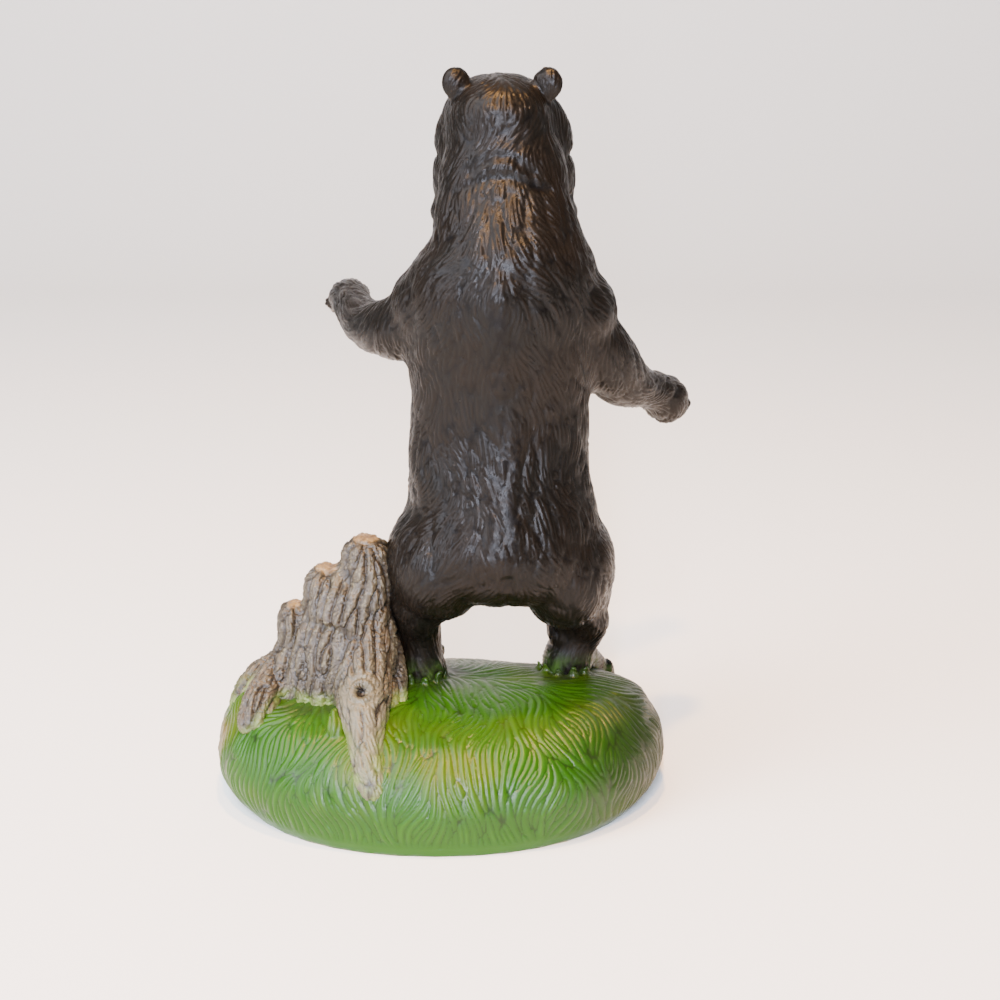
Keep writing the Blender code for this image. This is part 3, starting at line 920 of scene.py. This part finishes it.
def fur_flow():
    """Which way the fur lies: back from the nose, down the back and the legs, out along the arms."""
    arms = [near_path(smooth_rows(Bear.rows(arm))) for arm in (LEFT_ARM, RIGHT_ARM)]
    middle = Bear.at(0, 0, 0)
    nape = Bear.at(0, 14, 222)
    nose = Bear.in_head(0, -74, 220)
    unit = Bear.scale

    def flow(place, normal):
        x, y, z = (place - middle) / unit
        down = Vector((0, 0, -1))
        if z > 186:
            from_nose = (place - nose).normalized()
            share = float(soft_step(-45, -6, y))
            return from_nose.lerp(Vector((0.35 * x / 28, 0.2, -1)), share)
        fan = (place - nape).normalized()
        fan.y *= 0.3
        ahead = fan.lerp(down, float(soft_step(190, 128, z)) * 0.75)
        if z < 84 and z > 26:
            curl = float(soft_step(84, 60, z))
            ahead = ahead + Vector((0.5 * x / 40, -0.5 if y < 20 else 0.1, 0)) * curl
        if z < 16:
            return Vector((0, -1, -0.35)) if y < -6 else down
        side = 0 if x > 0 else 1
        if abs(x) > 26 and 90 < z < 186:
            share, tangent, away = arms[side](place)
            hold = float(soft_step(0.12, 0.42, share)) * float(soft_step(2.2, 1.25, away))
            ahead = ahead.normalized().lerp(Vector(tangent), hold)
        return ahead

    return flow


def grass_flow():
    """Which way the grass lies: away from the crown and down the sides."""
    crown = Vector((0.0, -0.012, 0))
    spread = Vector((1 / MOUND_WIDTH**2, 1 / MOUND_DEPTH**2, 0))

    def flow(place, normal):
        out = place - crown
        out = Vector((out.x * spread.x, out.y * spread.y, 0)) * 0.02
        return out.normalized() * min(1, out.length * 2 + 0.3) + Vector((0, 0, -0.8))

    return flow


def bark_flow():
    """Which way the bark runs: up the splinters and out along the roots."""
    paths = [near_path(smooth_rows(stump_rows(keys))) for keys in (*SPLINTERS, *WALLS, *ROOTS)]

    def flow(place, normal):
        found = [look(place) for look in paths]
        best = min(found, key=lambda look: look[2])
        return Vector(best[1])

    return flow


def slow_noise(places, size, seed=0.0):
    """Smooth noise from -1 to 1, with lumps of about that size."""
    shift = Vector((seed, seed * 1.7, -seed))
    return np.array([noise.noise(Vector(p) / size + shift) for p in places])


def bear_piece(ground):
    """The bear, its fur combed in with a coarse tool and a fine one."""
    clay = bmesh.new()
    add_torso(clay)
    add_chest_and_nape(clay)
    add_haunches_and_legs(clay, ground)
    add_arms(clay)
    add_head(clay)
    clay = clay_of(worked(clay, CLAY_GRAIN, JOIN_BLEND))
    add_ears(clay)
    add_face(clay)
    claws = add_hind_toes(clay, ground) + add_fingers(clay)
    skin = Skin(worked(clay, FUR_GRAIN, DETAIL_BLEND), 11)
    carve_bear(skin.places, skin.normals)
    skin.settle()

    _, y, z = ((skin.places - np.array(Bear.at(0, 0, 0))) / Bear.scale).T
    muzzle = soft_step(-42, -50, y) * soft_step(196, 202, z)
    above = skin.places[:, 2] - np.array([ground.height(p[0], p[1]) for p in skin.places])
    buried = above < -0.003
    horn = claw_mark(skin.places, claws)
    flow = fur_flow()
    # Locks first, calmer on the head, round the feet and most on the muzzle; then the hairs on them.
    locks = skin.strands(skin.lines(flow, LOCK_GAP, LOCK_LENGTH, 0.9, 0.030, ~buried), LOCK_GAP)
    calm = 1 - 0.85 * muzzle
    calm *= 1 - 0.75 * soft_step(0.022, 0.008, above)
    calm *= 1 - 0.5 * soft_step(200, 216, z)
    skin.push((locks - 0.95) * LOCK_HEIGHT * calm * (1 - horn))
    bare = horn > 0.3
    hairs = skin.strands(skin.lines(flow, HAIR_GAP, HAIR_LENGTH, 1.2, 0.018, ~(buried | bare)), HAIR_GAP)
    skin.push((hairs - 1.0) * HAIR_HEIGHT * (1 - 0.7 * muzzle) * (1 - horn))
    skin.mark("relief", hairs)
    skin.mark("horn", horn)
    skin.mark("spray", soft_step(0.011, 0.001, above))
    skin.mark("muzzle", muzzle)
    skin.mark("nose", ball_mark(skin.places, Bear.in_head(*NOSE), 5.4))
    eyes = [ball_mark(skin.places, Bear.in_head(*eye), 3.1, 0.2) for eye in EYES]
    skin.mark("eye", np.maximum(*eyes))
    return skin.finished("bear", BEAR_FACES)


def ball_mark(places, centre, radius, soft=1.2):
    """1 inside a ball and 0 outside it."""
    away = np.linalg.norm(places - np.array(centre), axis=1) / Bear.scale
    return soft_step(radius + soft / 2, radius - soft / 2, away)


def claw_mark(places, claws):
    """1 on the claws and 0 on the fur."""
    found = np.zeros(len(places))
    for rows in claws:
        away = away_from_path(places, [row[:3] for row in rows[1:]])
        found = np.maximum(found, soft_step(CLAW_RADIUS * 1.5, CLAW_RADIUS * 1.1, away))
    return found


def add_tufts(clay, ground):
    """Blades that stand up against the heels, and a leafy lump beside the big root."""
    for (x, y), turn in FEET:
        for k in range(-2, 3):
            around = math.radians(95 + turn + 32 * k)
            foot = Bear.at(x + 11.0 * math.cos(around), y + 11.5 * math.sin(around), 0)
            foot.z = ground.height(foot.x, foot.y) - 0.001
            lean = Vector((math.cos(around) * 0.5 + 0.1 * k, math.sin(around) * 0.5, 1)).normalized()
            size = 0.0052 if k % 2 else 0.0034
            rows = []
            for t in (0, 0.5, 1):
                rows.append((*(foot + lean * size * t), 0.0034 - 0.0016 * t, 0.0022 - 0.0008 * t))
            add_limb(clay, rows)
    lump = Vector((STUMP_OFFSET - 0.0045, 0.045, 0))
    lump.z = ground.height(lump.x, lump.y) + 0.0006
    add_ball(clay, lump, (0.0042, 0.0034, 0.0060), (25, 0, 12))
    add_ball(clay, lump + Vector((0.001, -0.002, 0.004)), (0.0025, 0.0022, 0.0045), (30, 0, -20))


def mound_piece(ground):
    """The mound, its grass cut as long blades down to the rim."""
    clay = mound_mass()
    add_tufts(clay, ground)
    skin = Skin(cut_flat(worked(clay, GRASS_GRAIN, 0.0008)), 23)
    # Slow swells, about 1 mm high and 30 mm across, that die out at the rim.
    swell = slow_noise(skin.places, 0.030, 3.0)
    skin.push(0.0011 * (swell - 0.4) * soft_step(0.004, 0.014, skin.places[:, 2]))
    skin.settle()
    grown = soft_step(0.0035, 0.0075, skin.places[:, 2])
    lines = skin.lines(grass_flow(), GRASS_GAP, GRASS_LENGTH, 1.5, 0.020, grown > 0.4)
    blades = skin.strands(lines, GRASS_GAP)
    skin.push((blades - 0.95) * GRASS_HEIGHT * grown)
    skin.mark("relief", blades * grown)
    skin.mark("rim", 1 - grown)
    # Painted shade: darker round the heels, the trunk's foot and the small root, and on the side away from
    # the stump.
    heels = [ball_mark(skin.places, Bear.at(*heel, 0), 20, 16) for heel, _ in FEET]
    trunk = ball_mark(skin.places, (STUMP_OFFSET + 0.004, 0, MOUND_HEIGHT - 0.006), 34, 9)
    root = ball_mark(skin.places, (STUMP_OFFSET + 0.043, 0.009, MOUND_HEIGHT - 0.026), 9, 8)
    x, _, z = skin.places.T
    far_side = 0.62 * soft_step(-0.050, -0.092, x) * soft_step(0.008, 0.020, z)
    skin.mark("shade", np.max([*heels, trunk * 0.7, root, far_side], axis=0))
    skin.mark("clay_patch", ball_mark(skin.places, (MOUND_WIDTH * 0.49, 0.014, 0.024), 9, 12))
    return skin.finished("grass_mound", GRASS_FACES)


def stump_piece(ground):
    """The broken trunk and its roots, with ridged bark and a smoother big root."""
    clay = bmesh.new()
    add_stump(clay)
    clay = clay_of(worked(clay, CLAY_GRAIN, JOIN_BLEND * 0.6))
    skin = Skin(worked(clay, BARK_GRAIN, 0), 37)
    knot = from_knot(skin.places)
    round_knot = soft_step(0.0100, 0.0075, knot)
    above = skin.places[:, 2] - np.array([ground.height(p[0], p[1]) for p in skin.places])
    shown = above > -0.003
    flow = bark_flow()
    broken = soft_step(0.84, 0.97, skin.normals[:, 2]) * soft_step(0.020, 0.026, above)
    x, y, _ = skin.places.T
    low = soft_step(0.022, 0.052, y) * soft_step(STUMP_OFFSET, STUMP_OFFSET - 0.006, x)
    # Ridges along the grain, splits between them, then cracks across.
    ridges = skin.strands(skin.lines(flow, BARK_GAP, BARK_LENGTH, 0.45, 0.010, shown), BARK_GAP)
    skin.push((ridges - 0.6) * BARK_HEIGHT * (1 - 0.7 * broken) * (1 - 0.65 * low) * (1 - round_knot))
    splits = skin.strands(skin.lines(flow, SPLIT_GAP, SPLIT_LENGTH, 0.9, 0.006, shown), SPLIT_GAP)
    skin.push((splits - 0.7) * SPLIT_HEIGHT)
    cracks = slow_noise(skin.places * np.array((1, 1, 2.4)), 0.0060, 8.0)
    crack = soft_step(0.07, 0.0, np.abs(cracks)) * (1 - broken) * (1 - 0.8 * low)
    skin.push(-0.0005 * crack)
    skin.settle()
    skin.push(-0.0010 * round_knot)
    carve_knot(skin.places, skin.normals)
    rings = 0.75 + 0.25 * np.cos(knot * (2 * math.pi / 0.0031))
    relief = ridges * 0.65 + splits * 0.35 - 0.4 * crack
    relief = relief + (rings - relief) * round_knot
    skin.mark("relief", relief * soft_step(0.0018, 0.0034, knot))
    skin.mark("smooth_root", low)
    # The up-facing broken tops, which the paint makes tan, partly as a painted highlight of warm light.
    skin.mark("broken", broken)
    skin.mark("spray", soft_step(0.0055, 0.0005, above))
    return skin.finished("tree_stump", BARK_FACES)


def linear(code):
    """An sRGB hex colour as linear red, green, blue and alpha."""
    parts = [int(code[i : i + 2], 16) / 255 for i in (1, 3, 5)]
    return (*(c / 12.92 if c <= 0.04045 else ((c + 0.055) / 1.055) ** 2.4 for c in parts), 1)


def add(tree, kind, inputs=None, **settings):
    """Adds a node and returns its outputs. An input is a plain value, a hex colour or a node's output."""
    node = tree.nodes.new(kind)
    for name, value in settings.items():
        setattr(node, name, value)
    for key, value in (inputs or {}).items():
        if isinstance(value, bpy.types.NodeSocket):
            tree.links.new(value, node.inputs[key])
        else:
            node.inputs[key].default_value = linear(value) if isinstance(value, str) else value
    return node.outputs


def lumps(tree, size, detail=3.0, roughness=0.55):
    """Noise on the piece's own places, with lumps of about that size in metres."""
    place = add(tree, "ShaderNodeTexCoord")["Object"]
    inputs = {"Vector": place, "Scale": 1 / size, "Detail": detail, "Roughness": roughness}
    return add(tree, "ShaderNodeTexNoise", inputs)["Fac"]


def cover(tree, source, low, high, start=0.0, end=1.0):
    """How much a coat covers: start to end, softly, while its source goes from low to high.

    The source is a tool mark's name, the size of lumps in metres, or another node's output.
    """
    if isinstance(source, str):
        source = add(tree, "ShaderNodeAttribute", attribute_name=source)["Fac"]
    elif isinstance(source, float):
        source = lumps(tree, source)
    inputs = {"Value": source, "From Min": low, "From Max": high, "To Min": start, "To Max": end}
    return add(tree, "ShaderNodeMapRange", inputs, interpolation_type="SMOOTHSTEP")[0]


def coats(tree, colour, layers):
    """Lays coats of paint over a colour. Each is its colour, its cover, and at times what thins the cover.

    A cover that is a name is that tool mark.
    """
    for paint, share, *thinned in layers:
        if isinstance(share, str):
            share = add(tree, "ShaderNodeAttribute", attribute_name=share)["Fac"]
        for part in thinned:
            share = add(tree, "ShaderNodeMath", {0: share, 1: part}, operation="MULTIPLY")[0]
        colour = add(tree, "ShaderNodeMix", {0: share, 6: colour, 7: paint}, data_type="RGBA")[2]
    return colour


def painted_clay(name, paint_over, dull, grain_strength, grain_depth, grain):
    """Fired clay under paint and a clear sealer, with a fine grain of clay and brush hairs.

    The IOR of 1.5 is typical of a clear acrylic sealer, and dull is its roughness from spot to spot.
    """
    material = bpy.data.materials.new(name)
    material.use_nodes = True
    tree = material.node_tree
    shader = tree.nodes["Principled BSDF"]
    tree.links.new(paint_over(tree), shader.inputs["Base Color"])
    tree.links.new(dull(tree), shader.inputs["Roughness"])
    shader.inputs["IOR"].default_value = 1.5
    relief = {"Strength": grain_strength, "Distance": grain_depth, "Height": lumps(tree, *grain)}
    tree.links.new(add(tree, "ShaderNodeBump", relief)[0], shader.inputs["Normal"])
    return material, shader


def fur_paint():
    """Near-black brown stain on fired clay, brushed over the cut fur.

    The cuts are painted darker as painted shade, the crests a little browner as a painted highlight, and
    the satin sealer draws thin streaks of light along the locks.
    """

    def stain(tree):
        layers = (
            # Warmer clouds, 28 mm across, where the stain went on thinner.
            ("#0f0b07", cover(tree, 0.028, 0.35, 0.65)),
            # Browner on the crests as a painted highlight, and near black in the cuts as painted shade.
            ("#130f0b", cover(tree, "relief", 0.4, 1.0)),
            ("#040303", cover(tree, "relief", 0.0, 0.3, 1.0, 0.0)),
            ("#4b3a28", "muzzle", 0.75),
            # Green from the mound, in 6 mm flecks up the feet.
            ("#2f4419", "spray", cover(tree, 0.006, 0.35, 0.7)),
            ("#3c3226", "horn"),
            ("#0d0b0a", "nose"),
            ("#1c0f07", "eye"),
        )
        return coats(tree, "#0b0a08", layers)

    def satin(tree):
        wet = [add(tree, "ShaderNodeAttribute", attribute_name=name)["Fac"] for name in ("eye", "nose")]
        polished = add(tree, "ShaderNodeMath", {0: wet[0], 1: wet[1]}, operation="MAXIMUM")[0]
        # The sealer's brush marks, drawn 4 mm across so that they show.
        sealer = cover(tree, 0.004, 0.3, 0.7, 0.30, 0.42)
        return add(tree, "ShaderNodeMix", {0: polished, 2: sealer, 3: 0.12})[0]

    # A grain of 1.1 mm is coarser than real clay, so that it shows.
    material, shader = painted_clay(
        "satin_brown_stain_on_ceramic", stain, satin, 0.35, 0.00025, (0.0011, 4.0, 0.6)
    )
    shader.inputs["Specular IOR Level"].default_value = 0.12
    return material


def grass_paint():
    """Thin green washes over the cut grass, under the same sealer.

    They turn olive in patches and on the crown and thin out to bare clay below. The cuts are darkened as
    painted shade and the crests lightened as a painted highlight, and painted shade lies round the heels,
    the trunk and a root, and on the side away from the stump.
    """

    def washes(tree):
        # Olive clouds, 40 mm across.
        clouds = lumps(tree, 0.040, 2.0)
        place = add(tree, "ShaderNodeSeparateXYZ", {0: add(tree, "ShaderNodeTexCoord")["Object"]})
        crown = cover(tree, place["Z"], 0.038, 0.048, 0.0, 0.5)
        layers = (
            ("#384a00", cover(tree, clouds, 0.52, 0.74)),
            # Lighter on the crests as a painted highlight, and darker in the cuts as painted shade.
            ("#326206", cover(tree, "relief", 0.4, 1.0, 0.0, 0.3)),
            ("#0e2600", cover(tree, "relief", 0.0, 0.25, 1.0, 0.0)),
            ("#1e4a02", "rim"),
            # Olive on the crown, and painted shade on the side away from the stump.
            ("#3f4c04", crown, cover(tree, clouds, 0.40, 0.62, 0.2, 0.9)),
            ("#121c00", cover(tree, place["X"], -0.036, -0.100, 0.0, 0.9)),
            # Painted shade round the heels, the trunk and the small root and on the far side, broken into 9
            # mm lumps.
            ("#171f0c", "shade", cover(tree, 0.009, 0.3, 0.65, 0.35, 0.9)),
            ("#6f5a3c", "clay_patch", cover(tree, 0.010, 0.3, 0.6)),
            # Bare clay on the flat underside.
            ("#d9cfbd", cover(tree, place["Z"], 0.0003, 0.0001)),
        )
        return coats(tree, "#1a4200", layers)

    def satin(tree):
        # The sealer's brush marks, drawn 5 mm across so that they show.
        return cover(tree, 0.005, 0.3, 0.7, 0.30, 0.44)

    # A grain of 1.2 mm is coarser than real clay, so that it shows.
    material, shader = painted_clay(
        "green_washes_on_ceramic", washes, satin, 0.3, 0.00025, (0.0012, 4.0, 0.6)
    )
    shader.inputs["Specular IOR Level"].default_value = 0.26
    return material


def bark_paint():
    """Grey-brown bark: darker in the cuts as painted shade, then pale paint dry-brushed over the crests.

    The dry brush leaves flecks, which break the light up, and the up-facing broken tops are tan and dull,
    partly the broken wood's own colour and partly a painted highlight of warm light.
    """

    def washes(tree):
        # Fibres of the torn wood, 3 mm apart.
        fibres = cover(tree, lumps(tree, 0.003, 4.0, 0.6), 0.35, 0.65)
        wood = coats(tree, "#4f3c22", (("#7d6641", fibres),))
        layers = (
            # Browner clouds, 12 mm across.
            ("#30281c", cover(tree, 0.012, 0.35, 0.65)),
            ("#413b2c", cover(tree, "relief", 0.4, 0.85)),
            # Flecks of the dry brush, 1.6 mm across.
            ("#625d49", "relief", cover(tree, lumps(tree, 0.0016, 2.0), 0.56, 0.66)),
            ("#5a5745", "smooth_root", 0.8),
            # Near black in the cuts as painted shade.
            ("#18140d", cover(tree, "relief", 0.1, 0.5, 1.0, 0.0)),
            # Tan on the up-facing broken tops: partly the broken wood's own colour, partly a painted
            # highlight of warm light.
            (wood, "broken"),
            # Green from the mound, in 6 mm flecks at the foot.
            ("#56662d", "spray", cover(tree, 0.006, 0.3, 0.6)),
        )
        return coats(tree, "#28241a", layers)

    def matt(tree):
        # Sealer sunk into the bark in spots, drawn 4 mm across so that they show.
        return cover(tree, 0.004, 0.3, 0.7, 0.38, 0.55)

    # A grain of 1.2 mm is coarser than real clay, so that it shows.
    return painted_clay(
        "dry_brushed_bark_on_ceramic", washes, matt, 0.5, 0.0003, (0.0012, 5.0, 0.65)
    )[0]


def stage():
    """A pale floor that curves up behind."""
    rows = [(FLOOR_FRONT, 0.0), (FLOOR_BACK, 0.0)]
    for angle in np.linspace(0.1, math.pi / 2, 10):
        rows.append((FLOOR_BACK - FLOOR_CURVE * math.sin(angle), FLOOR_CURVE * (1 - math.cos(angle))))
    rows.append((FLOOR_BACK - FLOOR_CURVE, WALL_HEIGHT))
    paper = bmesh.new()
    edges = [[paper.verts.new((x, y, z)) for y, z in rows] for x in (-FLOOR_HALF_WIDTH, FLOOR_HALF_WIDTH)]
    for i in range(len(rows) - 1):
        paper.faces.new((edges[0][i], edges[1][i], edges[1][i + 1], edges[0][i + 1]))
    mesh = bpy.data.meshes.new("backdrop")
    paper.to_mesh(mesh)
    paper.free()
    mesh.shade_smooth()
    sweep = object_of("backdrop", mesh)
    # Uncoated white paper: it scatters all light and shows no reflection of the figurine.
    material = bpy.data.materials.new("matte_white_paper")
    material.use_nodes = True
    shader = material.node_tree.nodes["Principled BSDF"]
    shader.inputs["Base Color"].default_value = linear("#f4f4f2")
    shader.inputs["Roughness"].default_value = 0.9
    sweep.data.materials.append(material)
    sweep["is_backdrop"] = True


# Each lamp: its name, place, width and height, power in watts and colour.
LAMPS = (
    ("wide softbox overhead", (0.80, 0.40, 1.7), (1.2, 1.2), 50, "#f6f8ff"),
    ("window from the left", (1.0, 0.60, 0.55), (0.5, 0.9), 22, "#eef1ff"),
    # Draws the cool streak down the spine.
    ("tall cool window", (0.07, 1.5, 0.78), (0.06, 1.3), 82, "#e2eaff"),
    # These two draw the gold on the crown and the nape.
    ("warm ceiling lamp", (-0.03, 0.10, 1.2), (0.07, 0.06), 21, "#ffbe74"),
    ("warm lamp by the window", (0.0, 0.80, 1.2), (0.09, 0.08), 25, "#ffbe74"),
)


def lights():
    world = bpy.data.worlds.new("pale room")
    bpy.context.scene.world = world
    world.use_nodes = True
    room = world.node_tree.nodes["Background"]
    room.inputs["Color"].default_value = linear("#ffffff")
    room.inputs["Strength"].default_value = ROOM_LIGHT
    for name, place, size, power, colour in LAMPS:
        light = bpy.data.lights.new(name, "AREA")
        light.shape = "RECTANGLE"
        light.size, light.size_y = size
        light.energy = power
        light.color = linear(colour)[:3]
        lamp = bpy.data.objects.new(name, light)
        lamp.location = place
        lamp.rotation_euler = (Vector(LIT_POINT) - Vector(place)).to_track_quat("-Z", "Y").to_euler()
        bpy.context.scene.collection.objects.link(lamp)


def camera():
    view = bpy.data.cameras.new("camera")
    view.lens = CAMERA_LENS
    view.sensor_width = SENSOR_WIDTH
    holder = bpy.data.objects.new("camera", view)
    holder.location = CAMERA_PLACE
    holder.rotation_euler = (math.radians(90 - CAMERA_DOWN), 0, math.pi)
    bpy.context.scene.collection.objects.link(holder)
    bpy.context.scene.camera = holder


def main():
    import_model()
    cad_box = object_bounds()
    camera()
    ground = Ground()
    pieces = (
        (bear_piece(ground), fur_paint()),
        (mound_piece(ground), grass_paint()),
        (stump_piece(ground), bark_paint()),
    )
    for piece, paint in pieces:
        piece.data.materials.append(paint)
        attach(piece, "root")
        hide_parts("bear_figurine")
    stage()
    lights()
    boxes = {"cad": cad_box, "visual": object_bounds()}
    plain = {name: [[float(c) for c in corner] for corner in box] for name, box in boxes.items()}


main()
